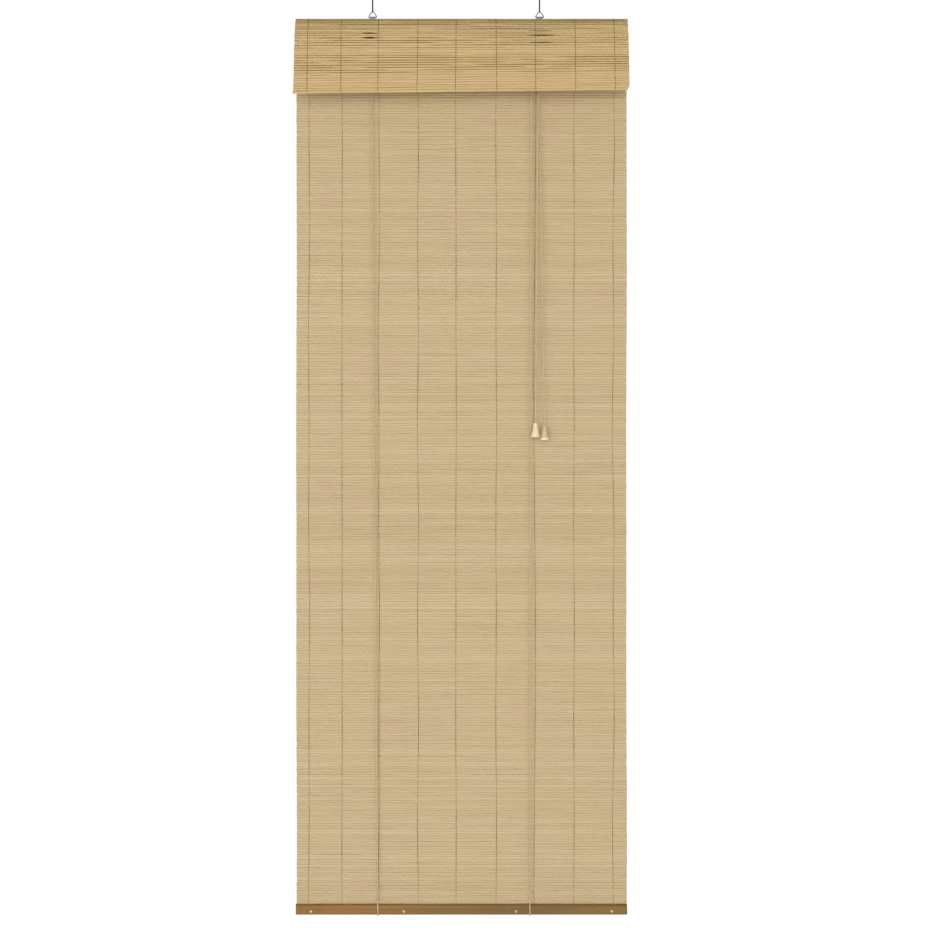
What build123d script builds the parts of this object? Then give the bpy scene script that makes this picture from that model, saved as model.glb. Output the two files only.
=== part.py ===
"""Bamboo roll up blind: a woven mat on a wooden head rail, raised by two lift cords.

Millimetres, +Z up, the front faces -Y. The origin is on the line through the centres of
the two hanger eyes, above the middle of the mat and in the mat's middle plane.
"""
from build123d import *
import math
import os

# ---- overall sizes ----
MAT_WIDTH = 600.0            # length of the mat's slats
BLIND_DROP = 1626.0          # top edge of the blind down to the underside of the bottom rail
HANG_HEIGHT = 46.0           # hanger eyes above the top edge
MAT_THICKNESS = 1.8          # slats with the warp threads round them
VALANCE_OVERHANG = 1.0       # the valance is wider than the mat at each end
VALANCE_SLANT = 3.5          # the left bottom corner hangs this much lower than the middle

# ---- valance ----
FOLD_BEHIND_HOUSING = 9.8    # the flat top turns down this far behind the housings' front
KNEE_CLEARANCE = 4.3         # the knee hangs this far in front of the housings
KNEE_DROP = 33.0
HEM_FORWARD = 17.9           # the hem hangs this far in front of the knee
HEM_DROP = 144.0
FOLD_RADIUS = 5.5
KNEE_RADIUS = 60.0

# ---- head rail ----
RAIL_INSET = 5.0             # the rail is shorter than the mat at each end
RAIL_DEPTH = 14.0
RAIL_HEIGHT = 36.0

# ---- bottom rail: two battens with the mat between them ----
BATTEN_OVERHANG = 0.5
BATTEN_HEIGHT = 18.0
BATTEN_DEPTH = 6.0
BATTEN_EDGE = 2.5            # rounding of the outer long edges
PIN_RADIUS = 2.3
PIN_PROUD = 0.6
PIN_DOME = 0.5
PIN_INSETS = (27.5, 27.9)    # the end pins from the battens' left and right ends
MIDDLE_PIN_X = (-104.5, 99.0)
PIN_ABOVE_BOTTOM = 6.6

# ---- cords ----
CORD_RADIUS = 1.2
CORD_GAP = 0.3               # air between a cord and what it runs past
LEFT_TOP_X = -162.7          # left lift cord where it meets its pulley
LEFT_FOOT_X = -151.4
RIGHT_TOP_X = 126.4          # right lift cord where it meets the cord lock
RIGHT_FOOT_X = 124.0
LOOP_ABOVE_BATTEN = 4.0      # the cord loops reach this far above the bottom rail
CORD_HOLE_RADIUS = CORD_RADIUS + CORD_GAP
KNOT_RADIUS = 2.9
KNOT_FLAT = 2.2              # the knot's flat face, below its centre
KNOT_ROOM = 1.1              # round the knot in its pocket
KNOT_END_ROOM = 0.2

# ---- pulley wheels ----
WHEEL_TURN_RADIUS = 6.6      # centre line of the cord round a wheel
WHEEL_RIM = 1.2              # flange beyond the cord's centre line
FLANGE = 0.6
SIDE_GAP = 0.3
SPOKE_HOLES = 3
SPOKE_HOLE_RADIUS = 0.8

# ---- axles, pins and screws ----
AXLE_RADIUS = 1.5
RUNNING_FIT = 0.05
TIGHT_FIT = 0.02
AXLE_HEAD_RADIUS = 2.6
AXLE_HEAD = 0.8
SCREW_RADIUS = 1.5
SCREW_HEAD_RADIUS = 2.8
SCREW_HEAD = 1.6
SCREW_TIP_GAP = 0.8          # wood between a screw's tip and the cords' holes
DRIVE_WIDTH = 0.8
DRIVE_LENGTH = 3.4
DRIVE_DEPTH = 0.8

# ---- pressed steel housings ----
PLATE = 1.0
TAB_GAP = 2.0                # between a strap's foot and the tab below it
TAB_EDGE = 3.2               # tab above its screws' centres
TAB_SCREW_ROOM = 3.5         # from the screws' centres down to the web
WEB_GAP = 0.5                # between the wheels and the web over them
PULLEY_MARGINS = (6.3, 2.5)  # plate outside the cord's two upright runs, left and right
PULLEY_FOOT = 1.2            # plate below the wheel
PULLEY_SCREW_INSET = 5.5
LOCK_MARGINS = (8.4, 13.4)
LOCK_FOOT = 3.4              # plate below the middle of the roller
LOCK_SCREW_INSET = 6.0
PLATE_CORNER = 2.0

# ---- locking roller ----
ROLLER_RADIUS = 3.0
TRUNNION_RADIUS = 1.2
ROLLER_FLUTES = 12
FLUTE_RADIUS = 0.3
SLOT_CLEARANCE = 0.15
ROLLER_TRAVEL = (1.6, 3.3)   # towards the cords and up, as it grips
GUIDE_PIN_GAP = 3.2          # centre of the guide pin below the wheels
TRUNNION_PROUD = 0.4

# ---- hanging straps and wires ----
STRAP_X = (-161.4, 142.0)
STRAP_WIDTH = 12.0
STRAP_THICKNESS = 1.2
STRAP_BOTTOM = 20.0
STRAP_SCREW_DROPS = (8.0, 16.0)
CURL_GAP = 0.2               # round the hanger wire in the curl
CURL_END_DEG = -70.0
CURL_LIFT = 0.7              # the curl clears the valance by this much
SLOT_GAP = 0.15
WIRE_RADIUS = 0.7
BAIL_GAP = 0.35              # between the strap's edges and the bail's sides
BAIL_SIDE = 3.4
BAIL_TOP = 12.0              # apex of the bail above its base
EYE_RADIUS = 6.3

# ---- staples ----
STAPLE_CROWN = 10.0
STAPLE_WIDTH = 1.2
STAPLE_WIRE = 0.6
STAPLE_LEG = 8.0
STAPLE_INSET = 20.0          # the end staples from the mat's edges
MIDDLE_STAPLE_X = (-210.0, -120.0, -60.0, 0.0, 60.0, 100.0, 200.0)
VALANCE_STAPLE_Y = 9.0
PANEL_STAPLE_DROP = 12.0

# ---- tassels: (x, y, top below the top edge) ----
TASSEL_LEFT = (133.5, -20.0, 734.8)
TASSEL_RIGHT = (150.0, -15.5, 740.0)
TASSEL_HEIGHT = 24.7
TASSEL_RADIUS = 8.1
TASSEL_TOP_RADIUS = 3.4
TASSEL_NECK = (4.2, 6.0)     # radius, and how far it is below the top
TASSEL_LIP = 2.2
TASSEL_WAIST = 0.5           # the flare's middle is hollowed by this much
TASSEL_MOUTH_RADIUS = 6.6
TASSEL_ROOF_RADIUS = 3.6
TASSEL_CAVITY = 14.0
TASSEL_KNOT_RADIUS = 2.8
TASSEL_KNOT_FLAT = 2.1
PULL_GUIDE_END = 62.0        # the pull cords run straight down to here, then slant
PULL_STRAIGHT_END = 12.0     # straight run above each tassel's roof
BEND_SHARE = 0.45            # share of the shorter run that an arc may use

# ---- places that follow from the sizes ----
TOP_Z = -HANG_HEIGHT
MAT_FRONT = -MAT_THICKNESS / 2
MAT_BACK = MAT_THICKNESS / 2
VALANCE_WIDTH = MAT_WIDTH + 2 * VALANCE_OVERHANG
RAIL_LENGTH = MAT_WIDTH - 2 * RAIL_INSET
BATTEN_LENGTH = MAT_WIDTH + 2 * BATTEN_OVERHANG
PIN_X = (PIN_INSETS[0] - BATTEN_LENGTH / 2, *MIDDLE_PIN_X, BATTEN_LENGTH / 2 - PIN_INSETS[1])
STAPLE_X = (STAPLE_INSET - MAT_WIDTH / 2, *MIDDLE_STAPLE_X, MAT_WIDTH / 2 - STAPLE_INSET)
RAIL_TOP = MAT_THICKNESS
RAIL_BOTTOM = RAIL_TOP + RAIL_HEIGHT
RAIL_BACK = MAT_BACK + RAIL_DEPTH
BATTEN_FACE = MAT_BACK + BATTEN_DEPTH
CORD_STAND_OFF = BATTEN_FACE + CORD_GAP + CORD_RADIUS
LOOP_RADIUS = BATTEN_EDGE + CORD_GAP + CORD_RADIUS
LOOP_RISE = BATTEN_HEIGHT + LOOP_ABOVE_BATTEN
KNOT_POCKET_RADIUS = KNOT_RADIUS + KNOT_ROOM
KNOT_POCKET_DEPTH = 2 * KNOT_RADIUS + KNOT_END_ROOM
WHEEL_WIDTH = 2 * (CORD_RADIUS + CORD_GAP + FLANGE)
BACK_PLATE_FACE = MAT_FRONT - PLATE
SCREW_LENGTH = CORD_STAND_OFF - CORD_HOLE_RADIUS - SCREW_TIP_GAP - BACK_PLATE_FACE
REAR_WHEEL_Y = -CORD_STAND_OFF
FRONT_WHEEL_Y = REAR_WHEEL_Y - SIDE_GAP - WHEEL_WIDTH
FRONT_PLATE_Y = FRONT_WHEEL_Y - WHEEL_WIDTH / 2 - SIDE_GAP
HOUSING_FRONT = FRONT_PLATE_Y - PLATE
VALANCE_FOLD_Y = HOUSING_FRONT + FOLD_BEHIND_HOUSING
VALANCE_KNEE = (HOUSING_FRONT - KNEE_CLEARANCE, KNEE_DROP)
VALANCE_HEM = (VALANCE_KNEE[0] - HEM_FORWARD, HEM_DROP)
WHEEL_RADIUS = WHEEL_TURN_RADIUS + WHEEL_RIM
GROOVE_RADIUS = WHEEL_TURN_RADIUS - CORD_RADIUS - CORD_GAP
TAB_TOP = STRAP_BOTTOM + TAB_GAP
TAB_SCREW_DROP = TAB_TOP + TAB_EDGE
WEB_TOP = TAB_SCREW_DROP + TAB_SCREW_ROOM
WHEEL_DROP = WEB_TOP + PLATE + WEB_GAP + WHEEL_RADIUS
PULLEY_X = LEFT_TOP_X + WHEEL_TURN_RADIUS
LOCK_X = RIGHT_TOP_X + WHEEL_TURN_RADIUS
PULL_X = LOCK_X + WHEEL_TURN_RADIUS
PULLEY_PLATE_X = (LEFT_TOP_X - PULLEY_MARGINS[0], PULLEY_X + WHEEL_TURN_RADIUS + PULLEY_MARGINS[1])
PULLEY_SCREW_X = (PULLEY_PLATE_X[0] + PULLEY_SCREW_INSET, PULLEY_PLATE_X[1] - PULLEY_SCREW_INSET)
PULLEY_BOTTOM = WHEEL_DROP + WHEEL_RADIUS + PULLEY_FOOT
LOCK_PLATE_X = (RIGHT_TOP_X - LOCK_MARGINS[0], PULL_X + LOCK_MARGINS[1])
LOCK_SCREW_X = (LOCK_PLATE_X[0] + LOCK_SCREW_INSET, LOCK_PLATE_X[1] - LOCK_SCREW_INSET)
ROLLER_HIGH_DROP = WHEEL_DROP + WHEEL_RADIUS + WEB_GAP + ROLLER_RADIUS
ROLLER_HIGH_X = PULL_X - CORD_RADIUS - CORD_GAP - ROLLER_RADIUS
ROLLER_LOW_X = ROLLER_HIGH_X - ROLLER_TRAVEL[0]
ROLLER_LOW_DROP = ROLLER_HIGH_DROP + ROLLER_TRAVEL[1]
LOCK_BOTTOM = ROLLER_LOW_DROP + LOCK_FOOT
GUIDE_PIN_X = PULL_X + CORD_RADIUS + CORD_GAP + AXLE_RADIUS
GUIDE_PIN_DROP = WHEEL_DROP + WHEEL_RADIUS + GUIDE_PIN_GAP
STRAP_BACK = MAT_FRONT
STRAP_FRONT = MAT_FRONT - STRAP_THICKNESS
CURL_INNER = WIRE_RADIUS + CURL_GAP
CURL_OUTER = CURL_INNER + STRAP_THICKNESS
CURL_Y = STRAP_BACK + CURL_INNER
CURL_DROP = -(CURL_OUTER + CURL_LIFT)
BAIL_HALF_WIDTH = STRAP_WIDTH / 2 + BAIL_GAP + WIRE_RADIUS
STEM_RADIUS = 2 * WIRE_RADIUS


def at(x, y, drop):
    """Point at a distance below the blind's top edge."""
    return Vector(x, y, TOP_Z - drop)


def block(x0, x1, y0, y1, drop0, drop1):
    """Box between two corners, with its top at drop0 and its bottom at drop1."""
    centre = at((x0 + x1) / 2, (y0 + y1) / 2, (drop0 + drop1) / 2)
    return Pos(centre) * Box(abs(x1 - x0), abs(y1 - y0), abs(drop1 - drop0))


def rod_y(x, drop, y0, y1, radius):
    """Round bar along Y."""
    return Pos(at(x, (y0 + y1) / 2, drop)) * Rot(90, 0, 0) * Cylinder(radius, abs(y1 - y0))


def rod_between(start, end, radius):
    """Round bar from one point to another."""
    along = end - start
    plane = Plane(origin=start, z_dir=along.normalized())
    return extrude(plane * Circle(radius), amount=along.length)


def slanted_cord(start, end):
    """Taut cord whose end faces are level, so that it meets the next cord face to face."""
    section = Plane(origin=start) * Circle(CORD_RADIUS)
    direction = end - start
    return extrude(section, amount=direction.length, dir=direction.normalized())


def cord_along(path, start, direction):
    """Round cord swept along a path of straight runs and tangent arcs."""
    plane = Plane(origin=start, z_dir=direction)
    return sweep(plane * Circle(CORD_RADIUS), path=path)


def round_y_edges(solid, radius):
    """Round the corners that run along Y."""
    return fillet(solid.edges().filter_by(Axis.Y), radius)


# ---- fasteners ----

def screw(x, drop, seat_y):
    """Pan head screw that points into the rail, with its head on the seat."""
    shank = rod_y(x, drop, seat_y, seat_y + SCREW_LENGTH, SCREW_RADIUS)
    head = rod_y(x, drop, seat_y - SCREW_HEAD, seat_y, SCREW_HEAD_RADIUS)
    head = fillet(head.edges().sort_by(Axis.Y)[0], SCREW_HEAD / 2)
    face = seat_y - SCREW_HEAD
    half = DRIVE_LENGTH / 2
    thin = DRIVE_WIDTH / 2
    cross = block(x - half, x + half, face, face + DRIVE_DEPTH, drop - thin, drop + thin)
    cross += block(x - thin, x + thin, face, face + DRIVE_DEPTH, drop - half, drop + half)
    return shank + head - cross


def strap_screws():
    return [screw(x, drop, STRAP_FRONT) for x in STRAP_X for drop in STRAP_SCREW_DROPS]


def housing_screws():
    return [screw(x, TAB_SCREW_DROP, BACK_PLATE_FACE) for x in PULLEY_SCREW_X + LOCK_SCREW_X]


def screw_holes():
    """Holes for every screw, through the mat and into the rail."""
    places = [(x, drop) for x in STRAP_X for drop in STRAP_SCREW_DROPS]
    places += [(x, TAB_SCREW_DROP) for x in PULLEY_SCREW_X + LOCK_SCREW_X]
    end_y = BACK_PLATE_FACE + SCREW_LENGTH
    return [rod_y(x, drop, HOUSING_FRONT, end_y, SCREW_RADIUS + TIGHT_FIT) for x, drop in places]


def valance_staple(x):
    """Staple down through the valance into the top of the rail."""
    half = STAPLE_CROWN / 2
    y0 = VALANCE_STAPLE_Y - STAPLE_WIDTH / 2
    y1 = VALANCE_STAPLE_Y + STAPLE_WIDTH / 2
    crown = block(x - half, x + half, y0, y1, -STAPLE_WIRE, 0)
    left = block(x - half, x - half + STAPLE_WIRE, y0, y1, -STAPLE_WIRE, STAPLE_LEG)
    right = block(x + half - STAPLE_WIRE, x + half, y0, y1, -STAPLE_WIRE, STAPLE_LEG)
    return crown + left + right


def panel_staple(x):
    """Staple back through the mat into the front of the rail."""
    half = STAPLE_CROWN / 2
    drop0 = PANEL_STAPLE_DROP - STAPLE_WIDTH / 2
    drop1 = PANEL_STAPLE_DROP + STAPLE_WIDTH / 2
    face = MAT_FRONT - STAPLE_WIRE
    tip = MAT_FRONT + STAPLE_LEG
    crown = block(x - half, x + half, face, MAT_FRONT, drop0, drop1)
    left = block(x - half, x - half + STAPLE_WIRE, face, tip, drop0, drop1)
    right = block(x + half - STAPLE_WIRE, x + half, face, tip, drop0, drop1)
    return crown + left + right


# ---- head rail and mats ----

def head_rail():
    """Planed wooden rail behind the mat, drilled for the cords and their knots."""
    half = RAIL_LENGTH / 2
    rail = block(-half, half, MAT_BACK, RAIL_BACK, RAIL_TOP, RAIL_BOTTOM)
    for x in (LEFT_FOOT_X, RIGHT_FOOT_X):
        middle = (RAIL_TOP + RAIL_BOTTOM) / 2
        rail -= Pos(at(x, CORD_STAND_OFF, middle)) * Cylinder(CORD_HOLE_RADIUS, RAIL_HEIGHT)
        pocket = Pos(at(x, CORD_STAND_OFF, RAIL_TOP + KNOT_POCKET_DEPTH / 2))
        rail -= pocket * Cylinder(KNOT_POCKET_RADIUS, KNOT_POCKET_DEPTH)
    rail -= screw_holes()
    rail -= [valance_staple(x) for x in STAPLE_X]
    rail -= [panel_staple(x) for x in STAPLE_X]
    return rail


def panel_mat():
    """Hanging mat as one closed sheet, from the rail's top to the foot of the bottom rail."""
    half = MAT_WIDTH / 2
    mat = block(-half, half, MAT_FRONT, MAT_BACK, RAIL_TOP, BLIND_DROP)
    mat -= screw_holes()
    mat -= [panel_staple(x) for x in STAPLE_X]
    mat -= pin_holes()
    return mat


def valance_mat():
    """Second, short mat that lies on the rail, folds over its front edge and hangs down."""
    middle = MAT_THICKNESS / 2
    start = at(0, RAIL_BACK, middle)
    knee = at(0, *VALANCE_KNEE)
    low = VALANCE_HEM[1] + VALANCE_SLANT
    run = (low - VALANCE_KNEE[1]) / (VALANCE_HEM[1] - VALANCE_KNEE[1])
    low_y = VALANCE_KNEE[0] + run * (VALANCE_HEM[0] - VALANCE_KNEE[0])
    path = FilletPolyline(
        start, at(0, VALANCE_FOLD_Y, middle), knee, at(0, low_y, low),
        radius=[FOLD_RADIUS, KNEE_RADIUS],
    )
    plane = Plane(origin=start, x_dir=(1, 0, 0), z_dir=(0, -1, 0))
    sheet = sweep(plane * Rectangle(VALANCE_WIDTH, MAT_THICKNESS), path=path)
    half = VALANCE_WIDTH / 2
    far = VALANCE_HEM[0] - RAIL_DEPTH
    below = low + RAIL_DEPTH
    wedge = [at(-half, far, low), at(half, far, low - 2 * VALANCE_SLANT),
             at(half, far, below), at(-half, far, below)]
    sheet -= extrude(make_face(Polyline(*wedge, close=True)), amount=2 * RAIL_DEPTH, dir=(0, 1, 0))
    for x in STRAP_X:
        reach = STRAP_WIDTH / 2 + SLOT_GAP
        sheet -= block(x - reach, x + reach, STRAP_FRONT - SLOT_GAP, STRAP_BACK + SLOT_GAP,
                       -MAT_THICKNESS, RAIL_TOP)
    sheet -= [valance_staple(x) for x in STAPLE_X]
    return sheet


# ---- hangers ----

def hanging_strap(x):
    """Steel strap on the front of the rail, curled round the hanger wire above the mat."""
    half = STRAP_WIDTH / 2
    curl_centre = at(x - half, CURL_Y, CURL_DROP)
    plane = Plane(origin=curl_centre, x_dir=(0, 1, 0), z_dir=(1, 0, 0))
    end = math.radians(CURL_END_DEG)
    reach = 2 * CURL_OUTER
    gap = Polyline((0, 0), (-reach, 0), (-reach, -reach),
                   (reach * math.cos(end), reach * math.sin(end)), close=True)
    ring = Circle(CURL_OUTER) - Circle(CURL_INNER) - make_face(gap)
    strap = extrude(plane * ring, amount=STRAP_WIDTH)
    flat = block(x - half, x + half, STRAP_FRONT, STRAP_BACK, CURL_DROP, STRAP_BOTTOM)
    for drop in STRAP_SCREW_DROPS:
        flat -= rod_y(x, drop, HOUSING_FRONT, MAT_BACK, SCREW_RADIUS + TIGHT_FIT)
    return strap + flat


def hanger_wire(x):
    """One length of wire: a bail through the strap's curl, a twisted stem and an eye."""
    base = CURL_DROP
    corners = [at(x - BAIL_HALF_WIDTH, CURL_Y, base - BAIL_SIDE),
               at(x - BAIL_HALF_WIDTH, CURL_Y, base),
               at(x + BAIL_HALF_WIDTH, CURL_Y, base),
               at(x + BAIL_HALF_WIDTH, CURL_Y, base - BAIL_SIDE),
               at(x, CURL_Y, base - BAIL_TOP)]
    wire = rod_between(corners[-1], corners[0], WIRE_RADIUS)
    for start, end in zip(corners, corners[1:]):
        wire += rod_between(start, end, WIRE_RADIUS)
    for corner in corners:
        wire += Pos(corner) * Sphere(WIRE_RADIUS)
    eye_foot = Vector(x, CURL_Y, -EYE_RADIUS)
    wire += rod_between(corners[-1], eye_foot, STEM_RADIUS)
    wire += Pos(x, CURL_Y, 0) * Rot(90, 0, 0) * Torus(EYE_RADIUS, WIRE_RADIUS)
    return wire


# ---- pulley and cord lock ----

def wheel(x, y):
    """Grooved nylon wheel on an axle along Y."""
    body = rod_y(x, WHEEL_DROP, y - WHEEL_WIDTH / 2, y + WHEEL_WIDTH / 2, WHEEL_RADIUS)
    groove = WHEEL_WIDTH / 2 - FLANGE
    cut = rod_y(x, WHEEL_DROP, y - groove, y + groove, WHEEL_RADIUS + WHEEL_RIM)
    cut -= rod_y(x, WHEEL_DROP, y - groove, y + groove, GROOVE_RADIUS)
    body -= cut
    body -= rod_y(x, WHEEL_DROP, y - WHEEL_WIDTH, y + WHEEL_WIDTH, AXLE_RADIUS + RUNNING_FIT)
    spoke = (AXLE_RADIUS + GROOVE_RADIUS) / 2
    for k in range(SPOKE_HOLES):
        turn = 2 * math.pi * k / SPOKE_HOLES
        hole_x = x + spoke * math.cos(turn)
        hole_drop = WHEEL_DROP - spoke * math.sin(turn)
        body -= rod_y(hole_x, hole_drop, y - WHEEL_WIDTH, y + WHEEL_WIDTH, SPOKE_HOLE_RADIUS)
    return body


def housing(plate_x, bottom, axle_x, screw_x):
    """Bent steel plate: a back with a fixing tab, a web over the wheels and a front."""
    x0, x1 = plate_x
    back = block(x0, x1, BACK_PLATE_FACE, MAT_FRONT, TAB_TOP, bottom)
    back = round_y_edges(back, PLATE_CORNER)
    front = block(x0, x1, HOUSING_FRONT, FRONT_PLATE_Y, WEB_TOP, bottom)
    lower = front.edges().filter_by(Axis.Y).sort_by(Axis.Z)[:2]
    front = fillet(lower, PLATE_CORNER)
    web = block(x0, x1, HOUSING_FRONT, MAT_FRONT, WEB_TOP, WEB_TOP + PLATE)
    shell = back + front + web
    shell -= rod_y(axle_x, WHEEL_DROP, HOUSING_FRONT, MAT_FRONT, AXLE_RADIUS + TIGHT_FIT)
    for x in screw_x:
        shell -= rod_y(x, TAB_SCREW_DROP, BACK_PLATE_FACE, MAT_FRONT, SCREW_RADIUS + TIGHT_FIT)
    return shell


def roller_slot():
    """Slanted slot through both plates for the roller's trunnions."""
    rise = math.hypot(*ROLLER_TRAVEL)
    tilt = math.degrees(math.atan2(ROLLER_TRAVEL[1], ROLLER_TRAVEL[0]))
    middle_x = (ROLLER_LOW_X + ROLLER_HIGH_X) / 2
    middle_drop = (ROLLER_LOW_DROP + ROLLER_HIGH_DROP) / 2
    plane = Plane(origin=at(middle_x, MAT_FRONT, middle_drop), x_dir=(1, 0, 0), z_dir=(0, -1, 0))
    width = 2 * (TRUNNION_RADIUS + SLOT_CLEARANCE)
    outline = Rot(0, 0, tilt) * SlotCenterToCenter(rise, width)
    return extrude(plane * outline, amount=MAT_FRONT - HOUSING_FRONT)


def cord_lock_housing():
    shell = housing(LOCK_PLATE_X, LOCK_BOTTOM, LOCK_X, LOCK_SCREW_X)
    shell -= roller_slot()
    pin_hole = AXLE_RADIUS + TIGHT_FIT
    shell -= rod_y(GUIDE_PIN_X, GUIDE_PIN_DROP, HOUSING_FRONT, MAT_FRONT, pin_hole)
    return shell


def headed_pin(x, drop):
    """Steel pin across a housing, flush at the back, with a head on the front."""
    pin = rod_y(x, drop, HOUSING_FRONT, MAT_FRONT, AXLE_RADIUS)
    head = rod_y(x, drop, HOUSING_FRONT - AXLE_HEAD, HOUSING_FRONT, AXLE_HEAD_RADIUS)
    return pin + head


def axle(x):
    """Headed pin with a collar that holds the rear wheel off the back plate."""
    collar_end = REAR_WHEEL_Y + WHEEL_WIDTH / 2 + SIDE_GAP
    collar = rod_y(x, WHEEL_DROP, collar_end, BACK_PLATE_FACE, AXLE_HEAD_RADIUS)
    return headed_pin(x, WHEEL_DROP) + collar


def locking_roller():
    """Fluted roller at the low end of its slots, clear of the cords."""
    inner = BACK_PLATE_FACE - SIDE_GAP
    outer = FRONT_PLATE_Y + SIDE_GAP
    body = rod_y(ROLLER_LOW_X, ROLLER_LOW_DROP, outer, inner, ROLLER_RADIUS)
    for k in range(ROLLER_FLUTES):
        turn = 2 * math.pi * k / ROLLER_FLUTES
        flute_x = ROLLER_LOW_X + ROLLER_RADIUS * math.cos(turn)
        flute_drop = ROLLER_LOW_DROP - ROLLER_RADIUS * math.sin(turn)
        body -= rod_y(flute_x, flute_drop, outer, inner, FLUTE_RADIUS)
    front = HOUSING_FRONT - TRUNNION_PROUD
    back = MAT_FRONT - SLOT_CLEARANCE
    return body + rod_y(ROLLER_LOW_X, ROLLER_LOW_DROP, front, back, TRUNNION_RADIUS)


# ---- bottom rail ----

def pin_holes():
    """Holes through both battens and the mat for the pins."""
    drop = BLIND_DROP - PIN_ABOVE_BOTTOM
    face = BATTEN_FACE + PIN_PROUD
    return [rod_y(x, drop, -face, face, PIN_RADIUS + TIGHT_FIT) for x in PIN_X]


def batten(side):
    """Half of the bottom rail: side -1 is in front of the mat and +1 behind it."""
    half = BATTEN_LENGTH / 2
    y0, y1 = sorted((side * MAT_BACK, side * BATTEN_FACE))
    wood = block(-half, half, y0, y1, BLIND_DROP - BATTEN_HEIGHT, BLIND_DROP)
    outer = wood.edges().filter_by(Axis.X).sort_by(Axis.Y)
    wood = fillet(outer[:2] if side < 0 else outer[-2:], BATTEN_EDGE)
    wood -= pin_holes()
    return wood


def batten_pin(x):
    """Peg through both battens, flush behind and slightly proud in front."""
    drop = BLIND_DROP - PIN_ABOVE_BOTTOM
    peg = rod_y(x, drop, -BATTEN_FACE - PIN_PROUD, BATTEN_FACE, PIN_RADIUS)
    return fillet(peg.edges().sort_by(Axis.Y)[0], PIN_DOME)


def cord_loop(x):
    """The stretch of lift cord that passes under the bottom rail and carries it."""
    under = BLIND_DROP + CORD_GAP + CORD_RADIUS
    top = BLIND_DROP - LOOP_RISE
    start = at(x, -CORD_STAND_OFF, top)
    path = FilletPolyline(
        start, at(x, -CORD_STAND_OFF, under), at(x, CORD_STAND_OFF, under),
        at(x, CORD_STAND_OFF, top), radius=[LOOP_RADIUS, LOOP_RADIUS],
    )
    return cord_along(path, start, (0, 0, -1))


# ---- lift cords ----

def anchor_knot(x):
    """Knot that holds a lift cord in the rail, flat where the cord leaves it."""
    centre = RAIL_TOP + KNOT_POCKET_DEPTH / 2
    ball = Pos(at(x, CORD_STAND_OFF, centre)) * Sphere(KNOT_RADIUS)
    wide = 2 * KNOT_RADIUS
    below = block(x - wide, x + wide, CORD_STAND_OFF - wide, CORD_STAND_OFF + wide,
                  centre + KNOT_FLAT, centre + 2 * wide)
    return ball - below


def back_run(x):
    """Lift cord behind the mat, from its knot down to the loop under the bottom rail."""
    top = RAIL_TOP + KNOT_POCKET_DEPTH / 2 + KNOT_FLAT
    foot = BLIND_DROP - LOOP_RISE
    return slanted_cord(at(x, CORD_STAND_OFF, top), at(x, CORD_STAND_OFF, foot))


def front_run(top_x, top_y, foot_x):
    """Lift cord in front of the mat, from the loop up to its wheel."""
    foot = BLIND_DROP - LOOP_RISE
    return slanted_cord(at(top_x, top_y, WHEEL_DROP), at(foot_x, -CORD_STAND_OFF, foot))


def quarter_arc(centre_x, y, start_deg, end_deg):
    """Arc of the cord's centre line round a wheel, with angles from +X towards +Z."""
    points = []
    for angle in (start_deg, (start_deg + end_deg) / 2, end_deg):
        turn = math.radians(angle)
        points.append(at(centre_x + WHEEL_TURN_RADIUS * math.cos(turn), y,
                         WHEEL_DROP - WHEEL_TURN_RADIUS * math.sin(turn)))
    return ThreePointArc(*points)


def transfer_cord():
    """Left lift cord from the pulley across to the cord lock's rear wheel."""
    over_pulley = quarter_arc(PULLEY_X, REAR_WHEEL_Y, 180, 90)
    over_lock = quarter_arc(LOCK_X, REAR_WHEEL_Y, 90, 0)
    across = Line(over_pulley @ 1, over_lock @ 0)
    path = Wire([over_pulley.edge(), across.edge(), over_lock.edge()])
    return cord_along(path, at(LEFT_TOP_X, REAR_WHEEL_Y, WHEEL_DROP), (0, 0, 1))


def lock_turn_cord():
    """Right lift cord over the cord lock's front wheel."""
    up = quarter_arc(LOCK_X, FRONT_WHEEL_Y, 180, 90)
    down = quarter_arc(LOCK_X, FRONT_WHEEL_Y, 90, 0)
    path = Wire([up.edge(), down.edge()])
    return cord_along(path, at(RIGHT_TOP_X, FRONT_WHEEL_Y, WHEEL_DROP), (0, 0, 1))


# ---- pull cords and tassels ----

def bend_radius(before, corner, after):
    """Largest arc that the two runs beside a corner allow."""
    turn = math.radians((corner - before).get_angle(after - corner))
    shorter = min((corner - before).length, (after - corner).length)
    return BEND_SHARE * shorter / math.tan(turn / 2)


def pull_cord(name, wheel_y, tassel):
    """Free cord from the lock down to its tassel, kept straight by the tassel's weight."""
    x, y, top = tassel
    roof = top + TASSEL_HEIGHT - TASSEL_CAVITY
    points = [at(PULL_X, wheel_y, WHEEL_DROP), at(PULL_X, wheel_y, PULL_GUIDE_END),
              at(x, y, roof - PULL_STRAIGHT_END), at(x, y, roof)]
    radii = [bend_radius(*points[i:i + 3]) for i in range(len(points) - 2)]
    print(name, "arc radii:", [round(radius, 1) for radius in radii])
    path = FilletPolyline(*points, radius=radii)
    solid = cord_along(path, points[0], (0, 0, -1))
    section = math.pi * CORD_RADIUS ** 2
    print(name, "length:", round(path.length, 1), "volume share:",
          round(solid.volume / (section * path.length), 5))
    return solid


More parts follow.
